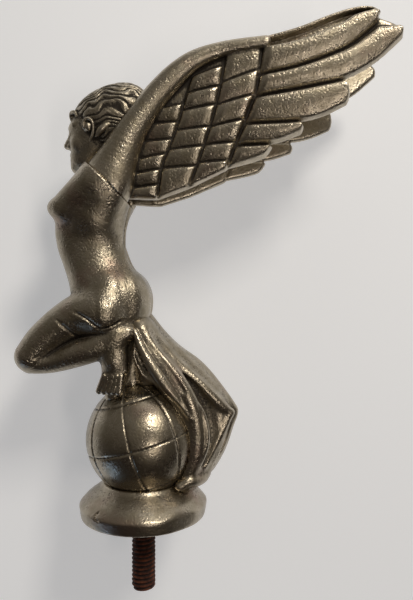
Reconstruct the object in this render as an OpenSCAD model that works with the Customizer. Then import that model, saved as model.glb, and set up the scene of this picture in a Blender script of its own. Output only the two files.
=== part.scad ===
// Hood ornament: a winged figure kneels on a globe, on a round plinth with a threaded stud.
// Origin: centre of the plinth's seating face, on the stud's axis. +Z up the stud's axis.
// The figure faces -Y, and its left side is +X. The wings sweep back along +Y.

/* [Stud] */
// Major diameter of the 5/16 inch stud
stud_d = 7.94; // [7.5:0.01:8.5]
// Length of the stud below the plinth
stud_len = 25.4; // [18:0.1:35]
// Diameter of the plain upper shank, inside the plinth and globe
shank_d = 6.4; // [5:0.1:7]
// Height of the shank's end above the seating face
shank_top = 20; // [14:0.5:30]
// Depth of the relief in the plinth's underside, around the stud
relief_h = 1.2; // [0.8:0.1:2]
// Gap between the stud's major diameter and that relief
relief_gap = 0.4; // [0.3:0.05:0.6]

/* [Plinth] */
// Diameter of the plinth's rim
base_d = 42.4; // [42:0.2:46]
// Height of the rim's straight side
rim_h = 3.4; // [2.5:0.1:4]
// Height of the domed top, at its inner edge
dome_h = 9; // [8.5:0.1:9.6]
// Diameter of the domed top's inner edge
dome_d = 32.8; // [32:0.2:34]
// Height of the collar that cups the globe
collar_h = 11.3; // [10.8:0.1:12]
// Diameter of the collar's lip
collar_d = 27.6; // [27:0.2:29]
// Radius of the rim's rounded shoulder
shoulder_r = 1.6; // [1:0.1:2]

/* [Globe] */
// Diameter of the globe
globe_d = 38; // [37:0.2:38.4]
// Height of the globe's centre
globe_z = 25.3; // [25:0.1:25.6]
// Depth of the engraved lines
line_depth = 0.3; // [0.2:0.05:0.5]
// Width of the engraved lines
line_w = 0.5; // [0.3:0.05:0.8]
// Forward tilt of the globe's axis
globe_tilt = 15.5; // [0:0.5:30]
// Turn of the globe's meridians about its axis
globe_turn = -6; // [-20:1:20]
// Latitude of the parallels on either side of the equator
parallel = 47; // [35:1:55]

/* [Figure] */
// Half the distance between the knees
knee_x = 7.2; // [7:0.1:8]
// Distance from the middle plane to an upper arm's middle
arm_x = 9.6; // [9.4:0.1:10]
// Half the width of the neck, between the two wing castings
neck_half = 4.7; // [4.6:0.1:4.8]
// Diameter of the dowels in the shoulders and the neck
dowel_d = 4; // [3:0.1:5]
// Diameter of the pins in the feet
foot_pin_d = 2.4; // [2:0.1:3]

/* [Wings] */
// Angle by which each wing turns away from the middle plane
wing_yaw = 6; // [5:0.5:8]
// Distance from the middle plane to a wing's inner face, at the root
wing_root_x = 4.4; // [4:0.1:5]
// Thickness of the wing blade
blade_t = 3.2; // [2.5:0.1:4]
// Thickness of a feather row on the blade
row_t = 1.1; // [0.8:0.1:1.5]

/* [Hidden] */

metal = "#8c8474";
steel = "#6f4a35";
brass = "#b08d4f";

smooth = 96;
body_fn = 28;
globe_r = globe_d / 2;
stud_r = stud_d / 2;
stud_chamfer = 0.9;

// How far a cutting body runs past the face it opens
past = 1;
// How far stacked parts of one solid run into each other
lap = 0.1;

// Places of the body, as [x, y, z], on the figure's left side or in the middle
hip = [6.2, -7.5, 70];
knee = [knee_x, -34.6, 53.4];
ankle = [8.4, -7.4, 58];
toes = [7, -9.8, 44.5];
// Radii of the leg at the hip, at both sides of the knee, at the ankle and at the foot
hip_r = 9.5;
knee_r = 6;
shin_r = 5.6;
ankle_r = 4;
instep_r = 3.3;
ball_of_foot_r = 4.2;
// The upper and lower body, each as balls of [place, radius]; x is mirrored
chest = [[[5, -11.5, 105], 7], [[5.8, -17.4, 106.3], 6.1], [[4.6, -24.5, 100.5], 6.2]];
waist = [[0, -17.5, 88], 9.4];
hips = [[[4, -14, 75], 9.6], [[5, -8.5, 71], 10.4]];

seam_mid = [0, -10.5, 108.6];
seam_tilt = -44.3;
seam_block = [80, 120, 60];
dowel_len = 14;

neck_bottom = 100;
neck_top = [0, -13.5, 117];
neck_dowel_bottom = 110;
neck_dowel_len = 14;
// The head's three balls, as [place, radius]
skull = [[0, -12.4, 130.6], 12];
jaw = [[0, -16.6, 120.4], 8];
nape = [[0, -9, 126], 10];

foot_pin_top = 50;
foot_pin_bottom = 35;
// How far behind the toes' middle the foot pins stand
foot_pin_back = 2;

// Outlines of the wing, as [y, z], on its own plane
blade = [[-3, 104.5], [8, 104.5], [17, 106.5], [28, 113.5], [38.5, 115.5], [42, 119.3],
         [51, 124], [52, 127], [65, 132.5], [66, 140], [78, 148.3], [82, 153.5], [80, 158],
         [73, 161.5], [67, 161.5], [50, 156], [30, 153], [20, 151.5], [10, 141], [1, 126],
         [-3, 114]];
// The long feathers, each as its root, its tip and its half widths there
primaries = [[[38, 146], [71, 158.5], 3.6, 2.4],
             [[36, 138.5], [78.5, 153.5], 4, 2.6],
             [[33, 130.5], [64, 137], 4, 3],
             [[30, 123], [50.5, 126.5], 3.5, 2.2]];
// The small feathers lie in columns, each as its lowest and highest row's front end
columns = [[[0, 107.5], [15, 139]], [[10, 110], [24, 145]], [[20, 114], [35, 148]]];
rows = 6;
// A small feather's run from its root to its tip, and its half widths there
small_run = [7, 1.2];
small_root = 2.6;
small_tip = 2.4;
// How deep the feathers are set into the blade
set_in = 0.7;
// Steps in height from one feather to the next, so that each lies over its neighbour
row_step = 0.11;
column_step = 0.03;
primary_step = 0.07;

// The raised arm and the wing's front edge, as [place, radius], on the left side
upper_arm = [[10, -15, 104], 6.2];
arm_chain = [[[arm_x + 0.2, 0, 127], 4.6], [[10.6, 14, 146.5], 3.4], [[12.6, 30, 151.4], 3],
             [[17.8, 66, 160], 2.4]];
// Room for the hair: half its width, and the height where it begins
hair_half = 7.4;
hair_z = 114;

// The drapery's side folds, as [place, radius], from the hips down
side_fold = [[[7, -1.5, 60], 3.2], [[9.4, 3, 51], 3.2], [[9.6, 10, 42], 3.2],
             [[10.2, 16, 32], 2.8], [[9.4, 16, 20], 2.8], [[7.4, 14, 12], 2.8]];
// The cloth between them, as balls of [place, radius] at each height
cloth_levels = [[[[4, -1.8, 61], 4]],
                [[[6.4, 2, 51], 5], [[3, 10, 52.5], 4]],
                [[[7, 10, 41], 4.5], [[4, 22, 42], 3.2]],
                [[[7, 16, 31], 4.5], [[3, 28, 33.6], 3.4]],
                [[[6.5, 16, 20], 4.5], [[3, 23, 20], 3.4]],
                [[[5, 13, 11], 4], [[3, 17.2, 11], 3.4]]];
// The hips take the room in front of this plane
hips_back = -2.4;
hips_bottom = 40;

function flip(p, s) = [s * p[0], p[1], p[2]];
module ball(p, r) translate(p) sphere(r, $fn = body_fn);
module link(a, ra, b, rb) hull() { ball(a, ra); ball(b, rb); }
module balls(places, s) for (p = places) ball(flip(p[0], s), p[1]);

module globe_ball(grow = 0) translate([0, 0, globe_z]) sphere(globe_r + grow, $fn = smooth);

module shank_bore() translate([0, 0, -past])
    cylinder(h = shank_top + past, d = shank_d, $fn = 48);
// The plane of the seams between the torso and the wing castings, square to the upper arms
module on_seam() translate(seam_mid) rotate([seam_tilt, 0, 0]) children();
module shoulder_bores() on_seam() for (s = [-1, 1])
    translate([s * arm_x, 0, -dowel_len / 2]) cylinder(h = dowel_len, d = dowel_d, $fn = 48);
module neck_bore() translate([0, neck_top[1], neck_dowel_bottom])
    cylinder(h = neck_dowel_len, d = dowel_d, $fn = 48);
module foot_bores() for (s = [-1, 1])
    translate([s * toes[0], toes[1] + foot_pin_back, foot_pin_bottom])
        cylinder(h = foot_pin_top - foot_pin_bottom, d = foot_pin_d, $fn = 32);

// The plinth as a turned solid: a rim with a rounded shoulder, a domed top and a collar
module base_body() rotate_extrude($fn = smooth) union() {
    flat_r = base_d / 2 - shoulder_r;
    top = rim_h + shoulder_r - lap;
    square([base_d / 2, rim_h]);
    translate([0, rim_h - lap]) square([flat_r, shoulder_r + lap]);
    translate([flat_r, rim_h]) circle(shoulder_r, $fn = 48);
    polygon([[0, top], [flat_r, top], [dome_d / 2, dome_h], [collar_d / 2, collar_h],
             [0, collar_h]]);
}

module base() color(metal) difference() {
    base_body();
    globe_ball();
    shank_bore();
    translate([0, 0, -past])
        cylinder(h = relief_h + past, r = stud_r + relief_gap, $fn = 64);
}

module globe_lines() difference() {
    translate([0, 0, globe_z]) rotate([globe_tilt, 0, 0]) {
        for (latitude = [-parallel, 0, parallel])
            translate([0, 0, globe_r * sin(latitude) - line_w / 2])
                cylinder(h = line_w, r = globe_r + past, $fn = smooth);
        for (turn = [globe_turn:45:globe_turn + 135])
            rotate([90, 0, turn])
                cylinder(h = line_w, r = globe_r + past, center = true, $fn = smooth);
    }
    globe_ball(-line_depth);
}

module globe() color(metal) difference() {
    globe_ball();
    globe_lines();
    shank_bore();
    foot_bores();
}

module leg(s) {
    link(flip(hip, s), hip_r, flip(knee, s), knee_r);
    link(flip(knee, s), shin_r, flip(ankle, s), ankle_r);
    foot(s);
}

module foot(s) {
    translate([s * toes[0], (ankle[1] + toes[1]) / 2, toes[2]])
        cylinder(h = ankle[2] - toes[2], r = instep_r, $fn = smooth);
    translate([s * toes[0], toes[1], toes[2] - 1]) sphere(ball_of_foot_r, $fn = smooth);
}

module figure() color(metal) difference() {
    union() {
        for (part = [chest, hips]) hull() {
            ball(waist[0], waist[1]);
            for (s = [-1, 1]) balls(part, s);
        }
        for (s = [-1, 1]) leg(s);
        translate([0, neck_top[1], neck_bottom])
            cylinder(h = neck_top[2] - neck_bottom, r = neck_half - lap, $fn = smooth);
    }
    globe_ball();
    head_solid();
    for (s = [-1, 1]) on_seam() translate([s * (neck_half + 20) - 20, -40, 0]) cube([40, 80, 30]);
    shoulder_bores();
    neck_bore();
    foot_bores();
}

module head_solid() hull() {
    balls([skull, jaw, nape], 1);
}

module head() color(metal) difference() {
    head_solid();
    neck_bore();
}

module feather(root, tip, r_root, r_tip, t) {
    across = [root[1] - tip[1], tip[0] - root[0]] / norm(tip - root);
    linear_extrude(t) {
        polygon([root + across * r_root, root - across * r_root,
                 tip - across * r_tip, tip + across * r_tip]);
        translate(root) circle(r_root, $fn = 24);
        translate(tip) circle(r_tip, $fn = 24);
    }
}

module blade_shape() rotate([90, 0, 90]) {
    linear_extrude(blade_t) polygon(blade);
    for (i = [0:len(primaries) - 1]) {
        f = primaries[i];
        translate([0, 0, blade_t - set_in - primary_step * i])
            feather(f[0], f[1], f[2], f[3], row_t + 0.1 + 2 * primary_step * i);
    }
    for (c = [0:len(columns) - 1], k = [0:rows - 1]) {
        at = columns[c][0] + (columns[c][1] - columns[c][0]) * k / (rows - 1);
        translate([0, 0, blade_t - set_in])
            feather(at, at + small_run, small_root, small_tip,
                    row_t + row_step * (rows - k) + column_step * c);
    }
}

module wing(s) mirror([s < 0 ? 1 : 0, 0, 0]) difference() {
    union() {
        translate([wing_root_x, 0, 0]) rotate([0, 0, -wing_yaw]) blade_shape();
        link(upper_arm[0], upper_arm[1], arm_chain[0][0], arm_chain[0][1]);
        for (i = [0:len(arm_chain) - 2])
            link(arm_chain[i][0], arm_chain[i][1], arm_chain[i + 1][0], arm_chain[i + 1][1]);
    }
    on_seam() translate([-seam_block[0] / 2, -seam_block[1] / 2, -seam_block[2]])
        cube(seam_block);
    neck_space();
    head_solid();
    shoulder_bores();
}

// The wing castings leave room between them for the neck and the hair
module neck_space() {
    translate([-30, -40, 90]) cube([30 + neck_half, 42, 40]);
    translate([-30, -40, hair_z]) cube([30 + hair_half, 41, 30]);
}

module left_wing() color(metal) wing(1);
module right_wing() color(metal) wing(-1);

// One hanging fold on each side, as a chain through places given with their radii
module fold(places) for (s = [-1, 1], i = [0:len(places) - 2])
    link(flip(places[i][0], s), places[i][1], flip(places[i + 1][0], s), places[i + 1][1]);

// The cloth between the folds: one solid between each pair of heights
module cloth(levels) for (i = [0:len(levels) - 2]) hull() for (s = [-1, 1], k = [i, i + 1])
    balls(levels[k], s);

module drapery() color(metal) difference() {
    union() {
        fold(side_fold);
        cloth(cloth_levels);
    }
    globe_ball();
    base_body();
    hips_space();
}

// Room for the hips and legs, which the drapery hangs behind
module hips_space() translate([-30, hips_back - 40, hips_bottom]) cube([60, 40, 60]);

module stud() color(steel) {
    translate([0, 0, -stud_len]) cylinder(h = stud_chamfer, r1 = stud_r - stud_chamfer,
                                          r2 = stud_r, $fn = 64);
    translate([0, 0, stud_chamfer - stud_len])
        cylinder(h = stud_len - stud_chamfer, r = stud_r, $fn = 64);
    cylinder(h = shank_top, d = shank_d, $fn = 48);
}

module shoulder_dowels() color(brass) shoulder_bores();
module neck_dowel() color(brass) neck_bore();
module foot_pins() color(brass) foot_bores();

base();
globe();
figure();
head();
left_wing();
right_wing();
drapery();
stud();
shoulder_dowels();
neck_dowel();
foot_pins();
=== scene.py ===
import math

import bpy
import numpy as np
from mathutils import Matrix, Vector


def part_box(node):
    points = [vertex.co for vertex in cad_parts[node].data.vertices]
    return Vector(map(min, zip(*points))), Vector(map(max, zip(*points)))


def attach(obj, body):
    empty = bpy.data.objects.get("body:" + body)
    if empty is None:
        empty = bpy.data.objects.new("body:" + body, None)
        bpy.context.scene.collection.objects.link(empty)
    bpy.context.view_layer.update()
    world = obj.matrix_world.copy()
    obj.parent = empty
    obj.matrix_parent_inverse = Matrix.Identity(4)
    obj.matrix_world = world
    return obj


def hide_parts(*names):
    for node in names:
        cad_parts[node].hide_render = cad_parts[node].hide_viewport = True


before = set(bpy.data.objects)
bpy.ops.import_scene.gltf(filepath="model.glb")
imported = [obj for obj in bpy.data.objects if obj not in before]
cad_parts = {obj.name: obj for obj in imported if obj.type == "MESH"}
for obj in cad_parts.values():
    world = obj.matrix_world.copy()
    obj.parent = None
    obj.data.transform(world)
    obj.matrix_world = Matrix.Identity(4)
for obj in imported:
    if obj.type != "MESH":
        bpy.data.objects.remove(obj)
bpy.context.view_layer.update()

# The hood ornament is sculpted as distance fields, in millimetres, and each field becomes a mesh.
# +X is the figure's left, -Y is where it faces, +Z is up the stud.

MM = 0.001
FAR = 40.0


def node_mm(node):
    """A CAD node's lowest and highest corner, in millimetres."""
    low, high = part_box(node)
    return np.array(low) / MM, np.array(high) / MM


# ---------------------------------------------------------------- clay

def smooth_min(a, b, k):
    """The lower of a and b, with a fillet about k wide where they cross."""
    if k <= 0:
        return np.minimum(a, b)
    h = np.maximum(k - np.abs(a - b), 0) / k
    return np.minimum(a, b) - h * h * k / 4


def step(low, high, x):
    """0 below low, 1 above high, and a smooth rise between."""
    t = np.clip((x - low) / (high - low), 0, 1)
    return t * t * (3 - 2 * t)


def curve(points, per_span=8):
    """Points along a smooth curve through the given ones (Catmull-Rom), in any number of axes."""
    p = np.array(points, float)
    p = np.vstack([2 * p[0] - p[1], p, 2 * p[-1] - p[-2]])
    out = []
    for i in range(1, len(p) - 2):
        a, b, c, d = p[i - 1:i + 3]
        for t in np.arange(per_span) / per_span:
            out.append(0.5 * (2 * b + (c - a) * t + (2 * a - 5 * b + 4 * c - d) * t ** 2
                              + (3 * b - a - 3 * c + d) * t ** 3))
    out.append(p[-2])
    return np.array(out)


class Clay:
    """A distance field in millimetres on a grid of voxels: negative inside the metal."""

    def __init__(self, low, high, size):
        self.low = np.array(low, float)
        self.size = size
        self.count = np.ceil((np.array(high, float) - self.low) / size).astype(int) + 1
        self.d = np.full(self.count, FAR, dtype=np.float32)

    def window(self, low, high):
        """The voxels in a box: their slices, and their x, y and z as arrays that broadcast."""
        first = np.floor((np.array(low) - self.low) / self.size).astype(int)
        last = np.ceil((np.array(high) - self.low) / self.size).astype(int) + 1
        first = np.clip(first, 0, self.count)
        last = np.clip(last, 0, self.count)
        axes = [(self.low[k] + self.size * np.arange(first[k], last[k])).astype(np.float32)
                for k in range(3)]
        return tuple(slice(a, b) for a, b in zip(first, last)), np.ix_(*axes)

    def blend(self, shapes, k, sense):
        """Blends one shape, or each of a list of shapes, with the metal or with the air."""
        for low, high, distance in shapes if isinstance(shapes, list) else [shapes]:
            part, (x, y, z) = self.window(np.array(low) - k - 1, np.array(high) + k + 1)
            self.d[part] = sense * smooth_min(sense * self.d[part], distance(x, y, z), k)

    def add(self, shapes, k=0.0):
        """Adds shapes. A shape is (low corner, high corner, distance function)."""
        self.blend(shapes, k, 1)

    def cut(self, shapes, k=0.0):
        """Takes shapes away."""
        self.blend(shapes, k, -1)

    def everywhere(self, change):
        """Replaces the field by change(d, x, y, z) over the whole grid."""
        part, (x, y, z) = self.window(self.low, self.low + self.size * self.count)
        self.d = change(self.d, x, y, z).astype(np.float32)


def both(make, *places):
    """A shape on the figure's left side, and its mirror image."""
    low, high, distance = make(*places)
    mirrored = ((-high[0], low[1], low[2]), (-low[0], high[1], high[2]),
                lambda x, y, z: distance(-x, y, z))
    return [(low, high, distance), mirrored]


def ball(c, r):
    """A ball about c."""
    c = np.array(c, float)
    return c - r, c + r, lambda x, y, z: np.sqrt(
        (x - c[0]) ** 2 + (y - c[1]) ** 2 + (z - c[2]) ** 2) - r


def egg(c, radii, pitch=0.0):
    """An ellipsoid, turned about X by pitch degrees."""
    c, r = np.array(c, float), np.array(radii, float)
    ca, sa = math.cos(math.radians(pitch)), math.sin(math.radians(pitch))

    def distance(x, y, z):
        u, v, w = x - c[0], ca * (y - c[1]) + sa * (z - c[2]), -sa * (y - c[1]) + ca * (z - c[2])
        near = np.sqrt((u / r[0]) ** 2 + (v / r[1]) ** 2 + (w / r[2]) ** 2)
        steep = np.sqrt((u / r[0] ** 2) ** 2 + (v / r[1] ** 2) ** 2 + (w / r[2] ** 2) ** 2)
        return near * (near - 1) / np.maximum(steep, 1e-6)

    reach = np.array([r[0], max(r[1], r[2]), max(r[1], r[2])])
    return c - reach, c + reach, distance


def limb(a, ra, b, rb, wide=1.0):
    """A round cone from a to b. Its section is stretched along X by wide."""
    a, b = np.array(a, float), np.array(b, float)
    ab = b - a
    long2 = float(ab @ ab)
    big = max(ra, rb) * max(wide, 1)

    def distance(x, y, z):
        u, v, w = x - a[0], y - a[1], z - a[2]
        t = np.clip((u * ab[0] + v * ab[1] + w * ab[2]) / long2, 0, 1)
        out = np.sqrt(((u - t * ab[0]) / wide) ** 2 + (v - t * ab[1]) ** 2 + (w - t * ab[2]) ** 2)
        return out - (ra + t * (rb - ra))

    return np.minimum(a, b) - big, np.maximum(a, b) + big, distance


def rope(places, per_span=6, wide=1.0):
    """Limbs along a smooth curve through [x, y, z, radius] places."""
    p = curve(places, per_span)
    big = p[:, 3].max() * max(wide, 1)
    limbs = [limb(p[i, :3], p[i, 3], p[i + 1, :3], p[i + 1, 3], wide)[2]
             for i in range(len(p) - 1)]

    def distance(x, y, z):
        out = limbs[0](x, y, z)
        for one in limbs[1:]:
            out = np.minimum(out, one(x, y, z))
        return out

    return p[:, :3].min(0) - big, p[:, :3].max(0) + big, distance


def tower(sections, power=2.0):
    """A body of oval sections, given upwards as [z, middle y, half depth, half width]."""
    p = curve(sections, 10)
    low = [-p[:, 3].max(), (p[:, 1] - p[:, 2]).min(), p[0, 0]]
    high = [p[:, 3].max(), (p[:, 1] + p[:, 2]).max(), p[-1, 0]]

    def distance(x, y, z):
        mid, deep, wide = (np.interp(z, p[:, 0], p[:, i]) for i in (1, 2, 3))
        out = (np.abs(x / wide) ** power + np.abs((y - mid) / deep) ** power) ** (1 / power)
        side = (out - 1) * np.minimum(deep, wide)
        return np.maximum(side, np.maximum(low[2] - z, z - high[2]))

    return low, high, distance


def look_up(a, i, j):
    """The flat array's value at fractional cells i and j, by linear interpolation."""
    i = np.clip(i, 0, a.shape[0] - 1.001)
    j = np.clip(j, 0, a.shape[1] - 1.001)
    i0, j0 = np.floor(i).astype(int), np.floor(j).astype(int)
    u, v = i - i0, j - j0
    return ((1 - u) * (1 - v) * a[i0, j0] + u * (1 - v) * a[i0 + 1, j0]
            + (1 - u) * v * a[i0, j0 + 1] + u * v * a[i0 + 1, j0 + 1])


def soft_noise(shape, grain, seed):
    """Soft noise of about -1 to 1 on an array, with lumps of about grain cells."""
    rng = np.random.default_rng(seed)
    coarse = [max(2, int(math.ceil(n / grain)) + 2) for n in shape]
    out = rng.uniform(-1, 1, coarse)
    for axis, n in enumerate(shape):
        at = np.linspace(0.5, coarse[axis] - 1.5, n)
        i = np.floor(at).astype(int)
        t = step(0, 1, at - i)
        t = t.reshape([-1 if k == axis else 1 for k in range(out.ndim)])
        out = np.take(out, i, axis) * (1 - t) + np.take(out, i + 1, axis) * t
    return out


def blur(a, cells, passes=2):
    """Box blur along every axis."""
    for _ in range(passes):
        for axis in range(a.ndim):
            pad = [(cells + 1, cells) if k == axis else (0, 0) for k in range(a.ndim)]
            total = np.cumsum(np.pad(a, pad, mode="edge"), axis=axis, dtype=np.float64)
            n = a.shape[axis]
            top = np.take(total, np.arange(2 * cells + 1, 2 * cells + 1 + n), axis)
            a = (top - np.take(total, np.arange(n), axis)) / (2 * cells + 1)
    return a


# ---------------------------------------------------------------- meshes

CORNERS = [(i, j, k) for i in (0, 1) for j in (0, 1) for k in (0, 1)]


def surface_net(clay):
    """Vertices and outward-facing quads of the field's zero surface (naive surface nets)."""
    d = clay.d
    inside = d < 0
    cells = tuple(n - 1 for n in d.shape)
    count = np.zeros(cells, np.int8)
    for i, j, k in CORNERS:
        count += inside[i:cells[0] + i, j:cells[1] + j, k:cells[2] + k]
    mixed = (count > 0) & (count < 8)
    cell = np.argwhere(mixed)
    number = np.full(cells, -1, np.int32)
    number[mixed] = np.arange(len(cell))
    total = np.zeros((len(cell), 3))
    crossings = np.zeros(len(cell))
    for a in CORNERS:
        for axis in range(3):
            if a[axis]:
                continue
            b = list(a)
            b[axis] = 1
            da = d[tuple((cell + a).T)].astype(float)
            db = d[tuple((cell + b).T)].astype(float)
            hit = (da < 0) != (db < 0)
            t = np.where(hit, da / np.where(hit, da - db, 1), 0)
            at = np.array(a, float) + np.eye(3)[axis] * t[:, None]
            total += at * hit[:, None]
            crossings += hit
    place = clay.low + clay.size * (cell + total / crossings[:, None])
    quads = []
    for axis in range(3):
        u, v = (axis + 1) % 3, (axis + 2) % 3
        near = [slice(0, n) for n in d.shape]
        far = list(near)
        near[axis], far[axis] = slice(0, -1), slice(1, None)
        flip_out = inside[tuple(near)] & ~inside[tuple(far)]
        flip_in = ~inside[tuple(near)] & inside[tuple(far)]
        for flip, order in ((flip_out, 1), (flip_in, -1)):
            at = np.argwhere(flip)
            fine = (at[:, u] > 0) & (at[:, v] > 0) & (at[:, u] < cells[u]) & (at[:, v] < cells[v])
            at = at[fine]
            ring = []
            for du, dv in ((-1, -1), (0, -1), (0, 0), (-1, 0))[::order]:
                c = at.copy()
                c[:, u] += du
                c[:, v] += dv
                ring.append(number[tuple(c.T)])
            quads.append(np.stack(ring, 1))
    return place, np.vstack(quads)


def sample(a, clay, place):
    """The array's value at each place, by linear interpolation."""
    at = (place - clay.low) / clay.size
    at = np.clip(at, 0, np.array(a.shape) - 1.001)
    i = np.floor(at).astype(int)
    t = at - i
    out = np.zeros(len(place))
    for c in CORNERS:
        weight = np.prod(np.where(c, t, 1 - t), axis=1)
        out += weight * a[tuple((i + c).T)]
    return out


def piece(name, node_names, place, faces, attributes, material):
    """A smooth mesh object that rides on the root body and stands for CAD nodes."""
    mesh = bpy.data.meshes.new(name)
    place = np.asarray(place) * MM
    faces = np.asarray(faces)
    mesh.vertices.add(len(place))
    mesh.vertices.foreach_set("co", place.ravel())
    mesh.loops.add(faces.size)
    mesh.loops.foreach_set("vertex_index", faces.ravel())
    mesh.polygons.add(len(faces))
    mesh.polygons.foreach_set("loop_start", np.arange(len(faces)) * faces.shape[1])
    mesh.polygons.foreach_set("use_smooth", np.ones(len(faces), bool))
    for key, value in attributes.items():
        mesh.attributes.new(key, "FLOAT", "POINT").data.foreach_set("value", value)
    mesh.update(calc_edges=True)
    mesh.validate()
    made = bpy.data.objects.new(name, mesh)
    bpy.context.scene.collection.objects.link(made)
    made.data.materials.append(material)
    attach(made, "root")
    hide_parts(*node_names)


def cast(name, node_names, clay, material, mirror=False, sag=0.0):
    """Makes the field's surface a piece, with how deep each point lies in fine and broad hollows.

    The mirrored wing sags a little along its length: a real pair is never quite alike.
    """
    place, quads = surface_net(clay)
    clipped = np.clip(clay.d, -3, 3)
    fine = sample(blur(clipped, max(1, round(0.5 / clay.size))), clay, place)
    broad = sample(blur(clipped, max(1, round(1.6 / clay.size))), clay, place)
    if mirror:
        place = place * (-1, 1, 1)
        quads = quads[:, ::-1]
        place[:, 2] -= sag * np.maximum(place[:, 1] - 4, 0)
    piece(name, node_names, place, quads, {"fine": fine, "broad": broad}, material)


# ---------------------------------------------------------------- materials

def feed(tree, socket, value):
    """Links a socket to another node's output, or sets it to a plain value."""
    if isinstance(value, bpy.types.NodeSocket):
        tree.links.new(value, socket)
    else:
        socket.default_value = value


def tree_of(block):
    """A material's or a world's node tree, and a short way to add a node with its inputs.

    Inputs go by name, or by number as i0, i1 and so on.
    """
    block.use_nodes = True
    tree = block.node_tree

    def add(kind, settings=None, **inputs):
        made = tree.nodes.new("ShaderNode" + kind)
        for key, value in (settings or {}).items():
            setattr(made, key, value)
        for key, value in inputs.items():
            numbered = key[0] == "i" and key[1:].isdigit()
            feed(tree, made.inputs[int(key[1:]) if numbered else key], value)
        return made

    return tree, add


def nodes_of(name):
    """A new material, and short ways to add nodes to it and to feed its shader."""
    material = bpy.data.materials.new(name)
    tree, add = tree_of(material)
    shader = tree.nodes["Principled BSDF"]

    def put(key, value):
        feed(tree, shader.inputs[key], value)

    return material, add, put


def ramp(add, value, stops):
    """A colour ramp's output; stops are (position, colour)."""
    made = add("ValToRGB", i0=value)
    elements = made.color_ramp.elements
    while len(elements) < len(stops):
        elements.new(0.5)
    for element, (at, colour) in zip(elements, stops):
        element.position = at
        element.color = (*colour[:3], 1)
    return made.outputs[0]


def mix(add, factor, a, b):
    """Colour a where the factor is 0, and b where it is 1."""
    return add("Mix", {"data_type": "RGBA"}, i0=factor, i6=a, i7=b).outputs[2]


def maths(add, operation, a, b):
    """One Math node's output."""
    return add("Math", {"operation": operation}, i0=a, i1=b).outputs[0]


def plus(add, a, b):
    return maths(add, "ADD", a, b)


def times(add, a, b):
    return maths(add, "MULTIPLY", a, b)


def between(add, value, low, high, to_low=0.0, to_high=1.0):
    """Maps low..high to to_low..to_high, smoothly and clamped."""
    return add("MapRange", {"interpolation_type": "SMOOTHSTEP"}, i0=value, i1=low, i2=high,
               i3=to_low, i4=to_high).outputs[0]


NICKEL = (0.43, 0.38, 0.30, 1)
# Paler nickel for the crests: rubbed wear, and also a painted highlight
CREST_WEAR_AND_HIGHLIGHT = (0.72, 0.65, 0.53, 1)
NICKEL_WARM = (0.29, 0.25, 0.18, 1)
NICKEL_RED = (0.31, 0.21, 0.17, 1)
PATINA = (0.030, 0.023, 0.016, 1)


def worn_nickel(name, rough, grain=1.0, dark=1.0, soil=0.0, hairline=None):
    """Old nickel plate: pale rubbed metal on the crests, painted paler there as a highlight, brown-black
    dirt in the hollows, fine pits.

    grain scales the pits, dark the depth of the dirt, and soil how far it spreads.
    """
    material, add, put = nodes_of(name)
    where = add("TexCoord").outputs["Object"]
    fine = add("Attribute", {"attribute_name": "fine"}).outputs["Fac"]
    broad = add("Attribute", {"attribute_name": "broad"}).outputs["Fac"]
    cloud = add("TexNoise", Vector=where, Scale=260.0, Detail=5.0, Roughness=0.6).outputs["Fac"]
    patch = add("TexNoise", Vector=where, Scale=70.0, Detail=3.0).outputs["Fac"]
    speck = add("TexNoise", Vector=where, Scale=1500.0, Detail=3.0, Roughness=0.7).outputs["Fac"]
    pits = add("TexVoronoi", {"feature": "F1"}, Vector=where, Scale=900.0).outputs["Distance"]

    # Dirt gathers in hollows, and its edge is broken by noise
    deep = plus(add, times(add, fine, -1.3), times(add, broad, -0.4))
    ragged = plus(add, deep, times(add, maths(add, "SUBTRACT", cloud, 0.5), 0.5))
    ragged = plus(add, ragged, times(add, maths(add, "SUBTRACT", speck, 0.5), 0.9))
    dirt = between(add, ragged, -0.04 - soil, 0.30 / dark - soil)
    if hairline is not None:
        # Below the hairline the metal is kept cleaner than in the hair
        place = add("SeparateXYZ", i0=where)
        slope = plus(add, times(add, place.outputs[1], 0.8), times(add, place.outputs[2], 0.6))
        kept = between(add, slope, hairline - 0.0008, hairline + 0.0004, 0.22, 1.0)
        dirt = times(add, dirt, kept)
    crest = between(add, times(add, deep, -1.0), 0.05, 0.5)

    metal = ramp(add, cloud, [(0.3, NICKEL_WARM), (0.62, NICKEL)])
    metal = mix(add, between(add, patch, 0.56, 0.74, 0.0, 0.55), metal, NICKEL_RED)
    # The crests are painted paler: partly rubbed wear, partly a painted highlight
    metal = mix(add, times(add, crest, 0.36), metal, CREST_WEAR_AND_HIGHLIGHT)
    base = mix(add, dirt, metal, PATINA)
    put("Base Color", base)
    put("Metallic", between(add, dirt, 0.0, 1.0, 1.0, 0.35))
    sheen = plus(add, times(add, dirt, 0.35),
                 between(add, cloud, 0.3, 0.7, rough + 0.07, rough - 0.05))
    sheen = maths(add, "SUBTRACT", sheen, times(add, crest, 0.03))
    put("Roughness", sheen)

    pitting = times(add, between(add, pits, 0.0, 0.45, -1.0, 0.0), 0.5)
    height = plus(add, speck, pitting)
    height = plus(add, height, times(add, cloud, 0.6))
    bump = add("Bump", Strength=0.7, Distance=0.0002 * grain, Height=height)
    put("Normal", bump.outputs[0])
    return material


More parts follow.
